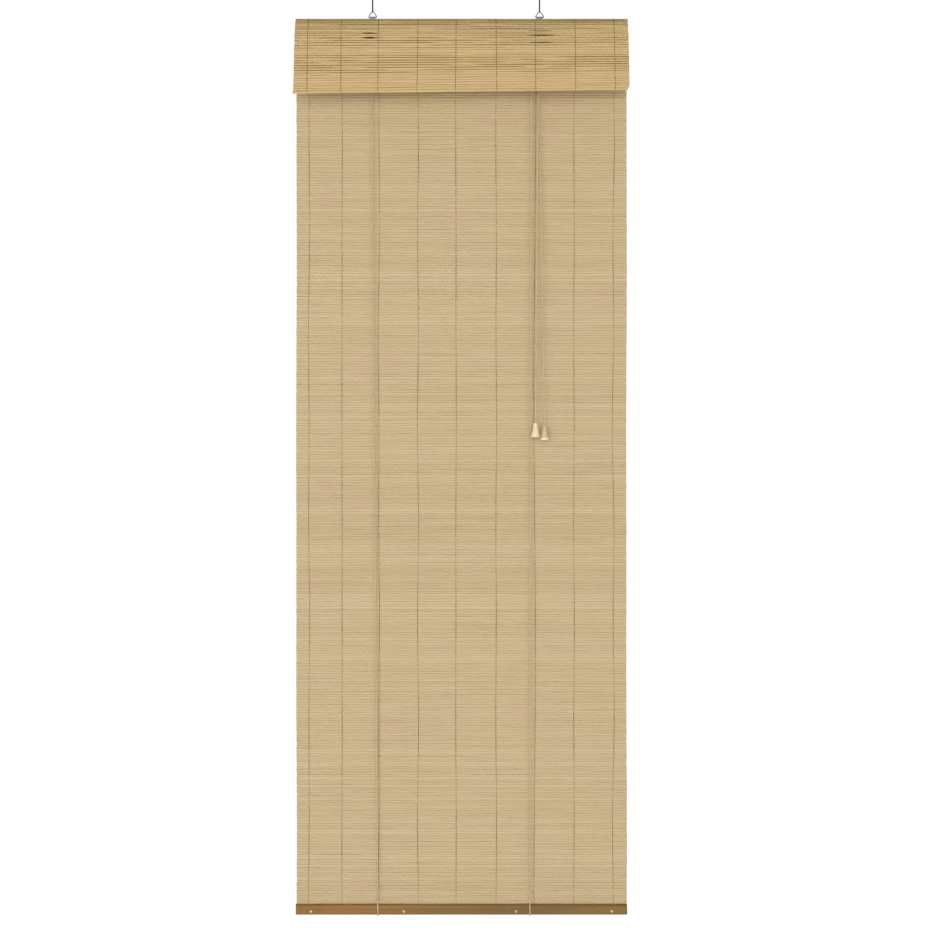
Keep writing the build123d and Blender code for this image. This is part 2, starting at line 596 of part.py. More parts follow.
def tassel_bell(tassel):
    """Turned bell with a cord hole in its top and a hollow below for the knot."""
    x, y, top = tassel
    foot = -TASSEL_HEIGHT
    roof = foot + TASSEL_CAVITY
    neck_radius, neck_drop = TASSEL_NECK
    lip = foot + TASSEL_LIP
    middle = ((neck_radius + TASSEL_RADIUS) / 2 - TASSEL_WAIST, (lip - neck_drop) / 2)
    flare = ThreePointArc((neck_radius, -neck_drop), middle, (TASSEL_RADIUS, lip))
    outline = [
        Polyline((CORD_HOLE_RADIUS, 0), (TASSEL_TOP_RADIUS, 0), (neck_radius, -neck_drop)),
        flare,
        Polyline((TASSEL_RADIUS, lip), (TASSEL_RADIUS, foot), (TASSEL_MOUTH_RADIUS, foot),
                 (TASSEL_ROOF_RADIUS, roof), (CORD_HOLE_RADIUS, roof), (CORD_HOLE_RADIUS, 0)),
    ]
    edges = [edge for line in outline for edge in line.edges()]
    profile = Plane.XZ * make_face(edges)
    return Pos(at(x, y, top)) * revolve(profile, axis=Axis.Z)


def tassel_knot(tassel):
    """Knot under the tassel's roof, flat where it bears on it."""
    x, y, top = tassel
    roof = top + TASSEL_HEIGHT - TASSEL_CAVITY
    ball = Pos(at(x, y, roof + TASSEL_KNOT_FLAT)) * Sphere(TASSEL_KNOT_RADIUS)
    wide = 2 * TASSEL_KNOT_RADIUS
    return ball - block(x - wide, x + wide, y - wide, y + wide, roof - wide, roof)


def build():
    """Every node of the blind, by name."""
    return {
        "head_rail": head_rail(),
        "panel_mat": panel_mat(),
        "valance_mat": valance_mat(),
        "panel_staples": [panel_staple(x) for x in STAPLE_X],
        "valance_staples": [valance_staple(x) for x in STAPLE_X],
        "strap_screws": strap_screws(),
        "housing_screws": housing_screws(),
        "hanging_strap_left": hanging_strap(STRAP_X[0]),
        "hanging_strap_right": hanging_strap(STRAP_X[1]),
        "hanger_wire_left": hanger_wire(STRAP_X[0]),
        "hanger_wire_right": hanger_wire(STRAP_X[1]),
        "pulley_housing": housing(PULLEY_PLATE_X, PULLEY_BOTTOM, PULLEY_X, PULLEY_SCREW_X),
        "pulley_axle": axle(PULLEY_X),
        "pulley_wheel": wheel(PULLEY_X, REAR_WHEEL_Y),
        "cord_lock_housing": cord_lock_housing(),
        "cord_lock_axle": axle(LOCK_X),
        "cord_lock_guide_pin": headed_pin(GUIDE_PIN_X, GUIDE_PIN_DROP),
        "lock_wheel_rear": wheel(LOCK_X, REAR_WHEEL_Y),
        "lock_wheel_front": wheel(LOCK_X, FRONT_WHEEL_Y),
        "locking_roller": locking_roller(),
        "bottom_batten_front": batten(-1),
        "bottom_batten_back": batten(1),
        "batten_pins": [batten_pin(x) for x in PIN_X],
        "cord_loop_left": cord_loop(LEFT_FOOT_X),
        "cord_loop_right": cord_loop(RIGHT_FOOT_X),
        "anchor_knot_left": anchor_knot(LEFT_FOOT_X),
        "anchor_knot_right": anchor_knot(RIGHT_FOOT_X),
        "back_run_left": back_run(LEFT_FOOT_X),
        "back_run_right": back_run(RIGHT_FOOT_X),
        "front_run_left": front_run(LEFT_TOP_X, REAR_WHEEL_Y, LEFT_FOOT_X),
        "front_run_right": front_run(RIGHT_TOP_X, FRONT_WHEEL_Y, RIGHT_FOOT_X),
        "transfer_cord": transfer_cord(),
        "lock_turn_cord": lock_turn_cord(),
        "pull_cord_left": pull_cord("pull_cord_left", FRONT_WHEEL_Y, TASSEL_LEFT),
        "pull_cord_right": pull_cord("pull_cord_right", REAR_WHEEL_Y, TASSEL_RIGHT),
        "tassel_left": tassel_bell(TASSEL_LEFT),
        "tassel_right": tassel_bell(TASSEL_RIGHT),
        "tassel_knot_left": tassel_knot(TASSEL_LEFT),
        "tassel_knot_right": tassel_knot(TASSEL_RIGHT),
    }


os.makedirs("parts", exist_ok=True)
for node, solid in build().items():
    shape = Compound(children=solid) if isinstance(solid, list) else solid
    shape.label = node
    export_step(shape, f"parts/{node}.step")
    print(node, "written")
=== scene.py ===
"""Bamboo roll up blind, hung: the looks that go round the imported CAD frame. Metres, +Z up, front -Y."""

import bpy
import numpy as np
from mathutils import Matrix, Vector


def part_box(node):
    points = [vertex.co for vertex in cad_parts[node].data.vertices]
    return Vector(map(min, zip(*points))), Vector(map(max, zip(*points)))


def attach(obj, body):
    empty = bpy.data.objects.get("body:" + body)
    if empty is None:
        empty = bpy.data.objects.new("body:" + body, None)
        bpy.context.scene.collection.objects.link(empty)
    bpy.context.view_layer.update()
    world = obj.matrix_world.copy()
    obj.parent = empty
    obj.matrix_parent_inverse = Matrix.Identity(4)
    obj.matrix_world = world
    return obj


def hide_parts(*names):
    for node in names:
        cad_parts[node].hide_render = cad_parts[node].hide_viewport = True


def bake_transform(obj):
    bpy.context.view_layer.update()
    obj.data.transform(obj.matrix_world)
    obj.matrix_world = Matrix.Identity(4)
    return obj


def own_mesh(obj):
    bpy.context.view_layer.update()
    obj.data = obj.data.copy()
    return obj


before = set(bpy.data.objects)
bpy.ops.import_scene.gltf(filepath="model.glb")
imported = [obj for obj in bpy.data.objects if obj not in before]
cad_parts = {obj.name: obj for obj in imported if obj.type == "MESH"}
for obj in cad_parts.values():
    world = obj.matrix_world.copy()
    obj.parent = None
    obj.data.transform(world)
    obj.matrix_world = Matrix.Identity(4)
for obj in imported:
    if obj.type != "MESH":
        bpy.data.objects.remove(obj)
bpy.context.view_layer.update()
CHANCE = np.random.default_rng(11)

# ---- sizes from the frame ----
PANEL_LOW, PANEL_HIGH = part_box("panel_mat")
VALANCE_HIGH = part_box("valance_mat")[1]
RAIL_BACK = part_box("head_rail")[1][1]
BATTEN_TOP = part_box("bottom_batten_front")[1][2]
HOUSING_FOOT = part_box("cord_lock_housing")[0][2]
TOP_EDGE = VALANCE_HIGH[2]
HALF_MAT = (PANEL_HIGH[1] - PANEL_LOW[1]) / 2

# ---- woven mats ----
PITCH = 0.00469              # slat to slat
SLAT_THICKNESS = 0.00115
SLAT_EDGE = 0.0004           # short end stretch that keeps a slat's end crisp
SLAT_WOBBLE = 0.0001
SEAM_SPREAD = 0.00022        # how far the seams stand from an even pitch
TIGHT_SEAM = 0.00001         # gap of a closed seam
END_LIMIT = 0.001            # how far a slat's end may pass the mat's edge
THREAD_RADIUS = 0.00048
THREAD_STEPS = 4             # rings for each slat that a thread passes
THREAD_SIDES = 4
THREAD_ASIDE = 0.00045       # how far the two threads of a pair part between crossings
THREAD_SWAY = 0.0005
THREAD_X = np.array([0.023, 0.083, 0.150, 0.221, 0.290, 0.363, 0.433, 0.5045, 0.576]) - 0.3

PANEL_SEGMENTS = 30
PANEL_EASE, PANEL_ROLL = 0.0003, 0.016        # eased edge of a slat, and how far it rolls about X
VALANCE_SEGMENTS = 56
VALANCE_EASE, VALANCE_ROLL = 0.0012, 0.05
OPEN_SEAM = 0.00015          # gap of the valance's darkest seams
STRAP_SLOT = 0.0016          # gap where the hanging straps come through
HEM_CUT = (-0.0006, -0.0030)  # how far the hem slat's two ends are set to the left
# painted shade near the valance's top edge: its strength and how far down it reaches
TOP_SHADE, TOP_SHADE_REACH = 0.45, 0.011
# places where seams stand open and get the full painted seam shade: drop below the top edge, X, reach along X and
# width
PANEL_OPENINGS = ((0.827, -0.295, 0.024, 0.0001), (0.8223, -0.225, 0.016, 0.0001), (1.118, -0.285, 0.03, 0.0001),
                  (0.950, 0.285, 0.03, 0.0001))
VALANCE_OPENINGS = ((0.0335, -0.1605, 0.0135, 0.0022), (0.0400, -0.1605, 0.0135, 0.0024),
                    (0.0280, 0.140, 0.019, 0.0010), (0.0370, 0.140, 0.019, 0.0016), (0.0520, 0.140, 0.019, 0.0012))

# how open the valance's seams are down its drop, and how much painted shade they get
SEAM_DROPS = (0.0, 0.006, 0.012, 0.055, 0.062, 0.068, 0.080, 0.104, 0.110, 0.150)
SEAM_SHARES = (0.6, 0.9, 1.1, 0.95, 0.4, 0.35, 1.0, 0.9, 0.3, 0.35)

# ---- valance profile ----
FOLD_LENGTHS = (0.0178, 0.0064, 0.0239, 0.0152, 0.1048)   # flat, fold, slope, knee, hang
SLOPE_TURN = np.radians(66.3)
HANG_TURN = np.radians(80.8)
VALANCE_SLANT = 0.0035       # how much lower the hem hangs on one side
VALANCE_TAIL = 0.006         # the profile goes on this far past the hem
STRAP_Y = -0.0015

# ---- cords ----
CORD_RADIUS = 0.0012
CORD_LAY = 0.0075            # length of one turn of its strands
CORD_STEP = 0.001
CORD_STRANDS = 3
STRAND_DEPTH = 0.12
WHEEL_TURN_RADIUS = 0.0066
CORD_STAND_OFF = 0.0084
FRONT_WHEEL_Y = -0.0129
LOOP_RADIUS = 0.004
LEFT_TOP_X, LEFT_FOOT_X = -0.1627, -0.1514
RIGHT_TOP_X, RIGHT_FOOT_X = 0.1264, 0.124
WHEEL_Z = TOP_EDGE - 0.038
PULL_X = RIGHT_TOP_X + 2 * WHEEL_TURN_RADIUS
LOOP_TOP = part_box("cord_loop_left")[1][2]
LOOP_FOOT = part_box("cord_loop_left")[0][2] + CORD_RADIUS
KNOT_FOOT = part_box("anchor_knot_left")[0][2]
PULL_GUIDE_Z = TOP_EDGE - 0.062
PULL_STRAIGHT = 0.012        # straight stretch above a tassel
# each pull cord's side, the Y of its wheel, and its tassel's X and Y
PULL_CORDS = (("left", FRONT_WHEEL_Y, 0.1335, -0.020), ("right", -CORD_STAND_OFF, 0.150, -0.0155))

# ---- hangers ----
WIRE_RADIUS = 0.0008
HANGER_X = (-0.1614, 0.142)
BAIL_HALF_WIDTH = 0.00705
BAIL_SIDE = 0.0034
BAIL_TOP = 0.012
STEM_LAY = 0.0064
EYE_RADIUS = 0.0063
WIRE_SIDES = 10

# ---- camera: level, in front of the middle of the hanging mat ----
EYE_DISTANCE = 2.3735
EYE_X = 0.0155
EYE_DROP = 0.8192

# ---- studio ----
FLOOR_Z = -3.9               # below the tassels when they are pulled right down
FLOOR_RADIUS = 5.5
FLOOR_SIDES = 64
SEEN_WHITE, FILL_WHITE = 1.05, 0.30           # the surroundings as the camera and as the light sees them
MAT_MIDDLE = (0, 0, (PANEL_LOW[2] + PANEL_HIGH[2]) / 2)
LAMPS = (                    # name, place, what it faces, size and watts
    ("left_lamp", (-1.5, -3.3, -0.3), MAT_MIDDLE, 3.6, 52.0),
    ("right_lamp", (1.1, -3.5, -0.3), MAT_MIDDLE, 3.6, 38.0),
    ("low_lamp", (0.1, -5.2, -3.3), (0, 0, 0), 3.4, 96.0),
    ("back_lamp", (0.8, 3.6, -0.4), MAT_MIDDLE, 3.6, 104.0))


# ======================================================================== mesh making

def tube_grid(rings, sides, closed=False):
    """Ring and side of each quad's corners: rings of points joined one to the next, with quads over the ends."""
    count = rings if closed else rings - 1
    i, j = np.meshgrid(np.arange(count), np.arange(sides), indexing="ij")
    ring = np.stack([i, i, i + 1, i + 1], -1).reshape(-1, 4)
    side = np.stack([j, j + 1, j + 1, j], -1).reshape(-1, 4)
    if closed:
        return ring, side
    k = np.arange(1, sides - 2, 2)
    fan = np.stack([0 * k, k, k + 1, np.minimum(k + 2, sides - 1)], -1)
    ring = np.concatenate([ring, 0 * fan, 0 * fan + rings - 1])
    side = np.concatenate([side, fan[:, ::-1], fan])
    return ring, side


def mesh_object(name, grids, ring, side, layers, values=None):
    """Object at the origin from many like grids of points, shape (count, rings, sides, 3).

    layers gives each UV layer as a function of (which grid, ring, side) at the quads' corners.
    values gives each point attribute as an array of shape (count, rings, sides)."""
    count, rings, sides, _ = grids.shape
    corner = (ring % rings) * sides + side % sides
    faces = (corner[None] + (np.arange(count) * rings * sides)[:, None, None]).reshape(-1, 4)
    points = grids.reshape(-1, 3)
    a, b, c = points[faces[:, 0]], points[faces[:, 1]], points[faces[:, 2]]
    if (a * np.cross(b, c)).sum() < 0:
        faces = faces[:, ::-1]
        ring, side = ring[:, ::-1], side[:, ::-1]
    mesh = bpy.data.meshes.new(name)
    mesh.vertices.add(len(points))
    mesh.vertices.foreach_set("co", points.astype(np.float32).ravel())
    mesh.loops.add(faces.size)
    mesh.loops.foreach_set("vertex_index", faces.astype(np.int32).ravel())
    mesh.polygons.add(len(faces))
    mesh.polygons.foreach_set("loop_start", np.arange(0, faces.size, 4, dtype=np.int32))
    mesh.update(calc_edges=True)
    mesh.validate()
    mesh.polygons.foreach_set("use_smooth", np.ones(len(mesh.polygons), bool))
    which = np.broadcast_to(np.arange(count)[:, None, None], (count, *ring.shape))
    every_ring = np.broadcast_to(ring[None], which.shape)
    every_side = np.broadcast_to(side[None], which.shape)
    for layer, place in layers.items():
        u, v = place(which, every_ring, every_side)
        pairs = np.stack([np.broadcast_to(u, which.shape), np.broadcast_to(v, which.shape)], -1)
        data = mesh.uv_layers.new(name=layer)
        data.uv.foreach_set("vector", pairs.astype(np.float32).ravel())
    for key, array in (values or {}).items():
        attribute = mesh.attributes.new(key, "FLOAT", "POINT")
        attribute.data.foreach_set("value", array.astype(np.float32).ravel())
    made = bpy.data.objects.new(name, mesh)
    bpy.context.collection.objects.link(made)
    return made


def spaced(path, step):
    """The path again, with points an even distance apart along it."""
    length = np.concatenate([[0], np.cumsum(np.linalg.norm(np.diff(path, axis=0), axis=1))])
    count = max(2, int(round(length[-1] / step)) + 1)
    place = np.linspace(0, length[-1], count)
    return np.stack([np.interp(place, length, path[:, k]) for k in range(3)], -1), place


def ring_points(path, radius, angles, reference, closed=False):
    """Points round a path: p + r (n cos a + b sin a), with n and b square to the path's direction."""
    if closed:
        along = np.roll(path, -1, 0) - np.roll(path, 1, 0)
    else:
        along = np.gradient(path, axis=0)
    along /= np.linalg.norm(along, axis=1, keepdims=True)
    across = np.cross(along, np.asarray(reference, float))
    across /= np.linalg.norm(across, axis=1, keepdims=True)
    other = np.cross(across, along)
    outward = across[:, None] * np.cos(angles)[..., None] + other[:, None] * np.sin(angles)[..., None]
    return path[:, None] + np.broadcast_to(radius, angles.shape)[..., None] * outward


# ======================================================================== materials

def new_material(name, **shader_values):
    """A material with its Principled shader's sockets set, its node tree and the shader."""
    material = bpy.data.materials.new(name)
    material.use_nodes = True
    tree = material.node_tree
    shader = tree.nodes["Principled BSDF"]
    for key, value in shader_values.items():
        shader.inputs[key.replace("_", " ")].default_value = value
    return material, tree, shader


def node(tree, kind, values=None, **settings):
    made = tree.nodes.new(kind)
    for key, value in settings.items():
        setattr(made, key, value)
    for key, value in (values or {}).items():
        made.inputs[key].default_value = value
    return made


def stretched(tree, source, scale):
    """A Mapping node that stretches a source's coordinates."""
    mapping = node(tree, "ShaderNodeMapping", {"Scale": scale})
    tree.links.new(source, mapping.inputs["Vector"])
    return mapping.outputs["Vector"]


def noise(tree, vector, scale, detail=3.0, roughness=0.55):
    made = node(tree, "ShaderNodeTexNoise", {"Scale": scale, "Detail": detail, "Roughness": roughness})
    tree.links.new(vector, made.inputs["Vector"])
    return made.outputs["Fac"]


def ramp(tree, factor, stops):
    """A colour ramp with (position, colour) stops."""
    made = node(tree, "ShaderNodeValToRGB")
    elements = made.color_ramp.elements
    while len(elements) < len(stops):
        elements.new(0.5)
    for element, (position, colour) in zip(elements, stops):
        element.position = position
        element.color = (*colour, 1.0)
    tree.links.new(factor, made.inputs["Fac"])
    return made.outputs["Color"]


def spread(tree, factor, low, high, start=0.0, end=1.0):
    """A factor from start..end carried to low..high."""
    made = node(tree, "ShaderNodeMapRange", {"From Min": start, "From Max": end, "To Min": low, "To Max": high})
    tree.links.new(factor, made.inputs["Value"])
    return made.outputs["Result"]


def mixed(tree, factor, first, second, blend="MIX"):
    made = node(tree, "ShaderNodeMix", data_type="RGBA", blend_type=blend)
    for value, index in ((factor, 0), (first, 6), (second, 7)):
        if isinstance(value, (int, float)):
            made.inputs[index].default_value = value
        elif isinstance(value, tuple):
            made.inputs[index].default_value = (*value, 1.0)
        else:
            tree.links.new(value, made.inputs[index])
    return made.outputs[2]


def bumped(tree, shader, height, strength, distance):
    made = node(tree, "ShaderNodeBump", {"Strength": strength, "Distance": distance})
    tree.links.new(height, made.inputs["Height"])
    tree.links.new(made.outputs["Normal"], shader.inputs["Normal"])


def bamboo_material(name, pale, middle, deep):
    """Split bamboo: long fibres, patches across several slats, one tone for each slat, painted shade along the seams
    between slats and painted shade near the valance's top edge.
    """
    material, tree, shader = new_material(name, Roughness=0.55, Specular_IOR_Level=0.28)
    grain_uv = node(tree, "ShaderNodeUVMap", uv_map="grain").outputs["UV"]
    place_uv = node(tree, "ShaderNodeUVMap", uv_map="place").outputs["UV"]
    tone = node(tree, "ShaderNodeAttribute", attribute_name="tone").outputs["Fac"]
    seam_shade = node(tree, "ShaderNodeAttribute", attribute_name="seam_shade").outputs["Fac"]
    top_shade = node(tree, "ShaderNodeAttribute", attribute_name="top_shade").outputs["Fac"]
    fibre = noise(tree, stretched(tree, grain_uv, (11.0, 620.0, 1.0)), 1.0, 4.0, 0.6)
    broad = noise(tree, stretched(tree, grain_uv, (2.6, 90.0, 1.0)), 1.0, 2.0)
    patch = noise(tree, stretched(tree, place_uv, (5.0, 9.0, 1.0)), 1.0, 2.0)
    colour = ramp(tree, fibre, [(0.28, deep), (0.48, middle), (0.75, pale)])
    shade = mixed(tree, spread(tree, broad, 0.0, 0.55, 0.3, 0.75), colour, middle)
    shade = mixed(tree, tone, shade, pale)
    blush = ramp(tree, patch, [(0.38, (0.985, 1.0, 0.93)), (0.5, (1.0, 1.0, 0.97)), (0.62, (1.0, 0.972, 0.968))])
    shade = mixed(tree, 1.0, shade, blush, "MULTIPLY")
    # painted shade: the slats' edges darkened along the seams between them
    shade = mixed(tree, seam_shade, shade, (0.23, 0.125, 0.038))
    # painted shade: slats near the valance's top edge darkened
    shade = mixed(tree, top_shade, shade, (0.12, 0.105, 0.035))
    tree.links.new(shade, shader.inputs["Base Color"])
    tree.links.new(spread(tree, fibre, 0.46, 0.66), shader.inputs["Roughness"])
    bumped(tree, shader, fibre, 0.35, 0.0002)
    return material


def thread_material():
    """Waxed cotton warp thread: fine twist, brown."""
    material, tree, shader = new_material("warp_thread", Roughness=0.8, Specular_IOR_Level=0.2)
    uv = node(tree, "ShaderNodeUVMap", uv_map="grain").outputs["UV"]
    wave = node(tree, "ShaderNodeTexWave", {"Scale": 1.0, "Distortion": 1.5, "Detail": 1.0})
    tree.links.new(stretched(tree, uv, (520.0, 1.0, 1.0)), wave.inputs["Vector"])
    fuzz = noise(tree, stretched(tree, uv, (160.0, 3.0, 1.0)), 1.0)
    colour = ramp(tree, fuzz, [(0.3, (0.19, 0.115, 0.030)), (0.7, (0.29, 0.19, 0.062))])
    tree.links.new(colour, shader.inputs["Base Color"])
    bumped(tree, shader, wave.outputs["Fac"], 0.4, 0.0001)
    return material


def cord_material(name, pale, deep):
    """Twisted cord: fine yarns along each strand, a little fuzz and painted shade in the hollows between strands."""
    material, tree, shader = new_material(name, Roughness=0.75, Specular_IOR_Level=0.25, Sheen_Weight=0.15)
    uv = node(tree, "ShaderNodeUVMap", uv_map="grain").outputs["UV"]
    hollow_shade = node(tree, "ShaderNodeAttribute", attribute_name="hollow_shade").outputs["Fac"]
    yarn = noise(tree, stretched(tree, uv, (900.0, 9.0, 1.0)), 1.0, 3.0)
    broad = noise(tree, stretched(tree, uv, (22.0, 1.0, 1.0)), 1.0, 2.0)
    colour = ramp(tree, yarn, [(0.25, deep), (0.65, pale)])
    colour = mixed(tree, spread(tree, broad, 0.0, 0.3), colour, deep)
    # painted shade in the hollows between strands
    colour = mixed(tree, hollow_shade, colour, tuple(0.7 * c for c in deep))
    tree.links.new(colour, shader.inputs["Base Color"])
    bumped(tree, shader, yarn, 0.5, 0.0002)
    return material


def wood_material(name, pale, deep, along=2.2, across=95.0, roughness=(0.4, 0.6), coat=0.0):
    """Planed wood with its grain along X: fine pores, broad bands and a little sheen."""
    material, tree, shader = new_material(name, Coat_Weight=coat, Coat_Roughness=0.35)
    place = node(tree, "ShaderNodeTexCoord").outputs["Object"]
    bands = noise(tree, stretched(tree, place, (along, across, across)), 1.0, 5.0, 0.62)
    pores = noise(tree, stretched(tree, place, (along * 12, across * 14, across * 14)), 1.0, 2.0)
    broad = noise(tree, stretched(tree, place, (1.7, 12.0, 12.0)), 1.0, 2.0)
    colour = ramp(tree, bands, [(0.3, deep), (0.66, pale)])
    colour = mixed(tree, spread(tree, broad, 0.0, 0.6, 0.35, 0.65), colour, tuple(0.7 * c for c in deep))
    colour = mixed(tree, spread(tree, pores, 0.0, 0.35, 0.55, 0.75), colour, tuple(0.45 * c for c in deep))
    tree.links.new(colour, shader.inputs["Base Color"])
    tree.links.new(spread(tree, bands, *roughness), shader.inputs["Roughness"])
    bumped(tree, shader, pores, 0.3, 0.0002)
    return material


def metal_material(name, pale, deep, scale=(400.0, 400.0, 60.0), roughness=(0.3, 0.5), metallic=1.0):
    """Steel with drawn or rolled streaks, small stains and uneven gloss."""
    material, tree, shader = new_material(name, Metallic=metallic)
    place = node(tree, "ShaderNodeTexCoord").outputs["Object"]
    streaks = noise(tree, stretched(tree, place, scale), 1.0, 3.0)
    stains = noise(tree, stretched(tree, place, (150.0, 150.0, 150.0)), 1.0, 4.0)
    colour = ramp(tree, streaks, [(0.3, deep), (0.7, pale)])
    colour = mixed(tree, spread(tree, stains, 0.0, 0.5, 0.45, 0.8), colour, tuple(0.6 * c for c in deep))
    tree.links.new(colour, shader.inputs["Base Color"])
    tree.links.new(spread(tree, stains, *roughness), shader.inputs["Roughness"])
    bumped(tree, shader, streaks, 0.15, 0.0001)
    return material


def moulded_material(name, pale, deep, roughness=(0.3, 0.42), rim=None):
    """Moulded plastic with slight flow marks and a fine orange peel. A rim is a painted highlight, paler below its
    low Z and fading out at its high Z, given as low Z, high Z and colour.
    """
    material, tree, shader = new_material(name, Specular_IOR_Level=0.45, Subsurface_Weight=0.08)
    shader.inputs["Subsurface Radius"].default_value = (0.004, 0.003, 0.002)
    shader.inputs["Subsurface Scale"].default_value = 0.5
    place = node(tree, "ShaderNodeTexCoord").outputs["Object"]
    flow = noise(tree, stretched(tree, place, (120.0, 120.0, 60.0)), 1.0, 2.0)
    peel = noise(tree, stretched(tree, place, (1400.0, 1400.0, 1400.0)), 1.0, 2.0)
    colour = ramp(tree, flow, [(0.3, deep), (0.6, pale)])
    # painted highlight: a paler band along the foot, fading upwards
    if rim:
        low, high, highlight = rim
        height = node(tree, "ShaderNodeSeparateXYZ")
        tree.links.new(place, height.inputs["Vector"])
        colour = mixed(tree, spread(tree, height.outputs["Z"], 1.0, 0.0, low, high), colour, highlight)
    tree.links.new(colour, shader.inputs["Base Color"])
    tree.links.new(spread(tree, flow, *roughness), shader.inputs["Roughness"])
    bumped(tree, shader, peel, 0.12, 0.0001)
    return material


# ======================================================================== cords

def nurbs_path(name, points):
    """The smooth line of a cord's route, read from its NURBS spline."""
    curve = bpy.data.curves.new(name, "CURVE")
    curve.dimensions = "3D"
    spline = curve.splines.new("NURBS")
    spline.points.add(len(points) - 1)
    for control, point in zip(spline.points, points):
        control.co = (*point, 1.0)
    spline.order_u = 3
    spline.use_endpoint_u = True
    curve.resolution_u = 64
    holder = bpy.data.objects.new(name, curve)
    bpy.context.collection.objects.link(holder)
    bpy.context.view_layer.update()
    mesh = bpy.data.meshes.new_from_object(holder)
    line = np.empty(3 * len(mesh.vertices))
    mesh.vertices.foreach_get("co", line)
    bpy.data.objects.remove(holder)
    bpy.data.curves.remove(curve)
    bpy.data.meshes.remove(mesh)
    return line.reshape(-1, 3)


def twisted_cord(name, path, reference, material, node_names):
    """Cord of three twisted strands: r = R (1 - d (1 - c) / 2), where c is the cosine of three times the angle.

    The rings turn with the strands, once in each lay."""
    line, place = spaced(np.asarray(path, float), CORD_STEP)
    sides = 4 * CORD_STRANDS
    phase = 2 * np.pi * np.arange(sides) / sides
    angles = phase[None] + (2 * np.pi * place / CORD_LAY)[:, None]
    lobe = (1 - np.cos(CORD_STRANDS * phase)) / 2
    radius = np.broadcast_to(CORD_RADIUS * (1.03 - STRAND_DEPTH * lobe), angles.shape)
    points = ring_points(line, radius, angles, reference)
    ring, side = tube_grid(len(line), sides)
    layers = {"grain": lambda which, ring, side: (ring * CORD_STEP, side / sides)}
    # painted shade: how deep in a hollow between strands each point lies
    hollow_shade = np.broadcast_to(0.5 * lobe, angles.shape)
    cord = mesh_object(name, points[None], ring, side, layers, {"hollow_shade": hollow_shade[None]})
    cord.data.materials.append(material)
    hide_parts(*node_names)
    return cord, line


def arc(centre, start, end, plane_axes, radius, steps=16):
    """Points of a round bend: centre + r (cos a, sin a) on the two axes of its plane, angles in degrees."""
    angle = np.radians(np.linspace(start, end, steps))[:, None]
    first, second = (np.asarray(axis, float) for axis in plane_axes)
    return np.asarray(centre, float) + radius * (np.cos(angle) * first + np.sin(angle) * second)


X_AXIS, Y_AXIS, Z_AXIS = (1, 0, 0), (0, 1, 0), (0, 0, 1)


def lift_cords(material):
    """Both lift cords: the runs in front of and behind the mat, the loops below it and the turns above."""
    for side, top_x, foot_x, wheel_y in (("left", LEFT_TOP_X, LEFT_FOOT_X, -CORD_STAND_OFF),
                                         ("right", RIGHT_TOP_X, RIGHT_FOOT_X, FRONT_WHEEL_Y)):
        front = [(top_x, wheel_y, WHEEL_Z), (foot_x, -CORD_STAND_OFF, LOOP_TOP)]
        back = [(foot_x, CORD_STAND_OFF, KNOT_FOOT), (foot_x, CORD_STAND_OFF, LOOP_TOP)]
        for word, run in (("front", front), ("back", back)):
            cord, _ = twisted_cord(f"lift_cord_{word}_{side}", run, Y_AXIS, material, [f"{word}_run_{side}"])
            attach(cord, "root")
            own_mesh(cord)
        bend_y = CORD_STAND_OFF - LOOP_RADIUS
        bend_z = LOOP_FOOT + LOOP_RADIUS
        under = np.concatenate([
            [(foot_x, -CORD_STAND_OFF, LOOP_TOP)],
            arc((foot_x, -bend_y, bend_z), 180, 270, (Y_AXIS, Z_AXIS), LOOP_RADIUS),
            arc((foot_x, bend_y, bend_z), 270, 360, (Y_AXIS, Z_AXIS), LOOP_RADIUS),
            [(foot_x, CORD_STAND_OFF, LOOP_TOP)]])
        loop, _ = twisted_cord(f"rail_loop_{side}", under, X_AXIS, material, [f"cord_loop_{side}"])
        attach(loop, "bottom_rail")
    plane = (X_AXIS, Z_AXIS)
    lock_x = RIGHT_TOP_X + WHEEL_TURN_RADIUS
    across = np.concatenate([
        arc((LEFT_TOP_X + WHEEL_TURN_RADIUS, -CORD_STAND_OFF, WHEEL_Z), 180, 90, plane, WHEEL_TURN_RADIUS),
        arc((lock_x, -CORD_STAND_OFF, WHEEL_Z), 90, 0, plane, WHEEL_TURN_RADIUS)])
    over = arc((lock_x, FRONT_WHEEL_Y, WHEEL_Z), 180, 0, plane, WHEEL_TURN_RADIUS, 32)
    for name, path, cad in (("cord_across", across, "transfer_cord"), ("cord_over_lock", over, "lock_turn_cord")):
        cord, _ = twisted_cord(name, path, Y_AXIS, material, [cad])
        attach(cord, "root")


def pull_cords(material):
    """The two free cords that end in the tassels, limp and kept straight by the tassels' weight."""
    for side, wheel_y, x, y in PULL_CORDS:
        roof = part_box(f"tassel_knot_{side}")[1][2]
        route = [(PULL_X, wheel_y, WHEEL_Z), (PULL_X, wheel_y, PULL_GUIDE_Z),
                 (x, y, roof + PULL_STRAIGHT), (x, y, roof)]
        smooth = nurbs_path(f"pull_route_{side}", route)
        cord, line = twisted_cord(f"free_pull_cord_{side}", smooth, Y_AXIS, material, [f"pull_cord_{side}"])
        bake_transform(cord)


# ======================================================================== woven mats

def wavering(count, share, lengths):
    """Slow waves along X for many lines at once: sum h sin(2 pi w x + p) / sqrt(sum h^2 / 2)."""
    waves = np.array(lengths)[:, None]
    phase = CHANCE.uniform(0, 2 * np.pi, (count, len(lengths), 1))
    height = CHANCE.uniform(0.3, 1.0, (count, len(lengths), 1)) / np.sqrt(waves)
    return (height * np.sin(2 * np.pi * waves * share + phase)).sum(1) / np.sqrt((height ** 2).sum(1) / 2)


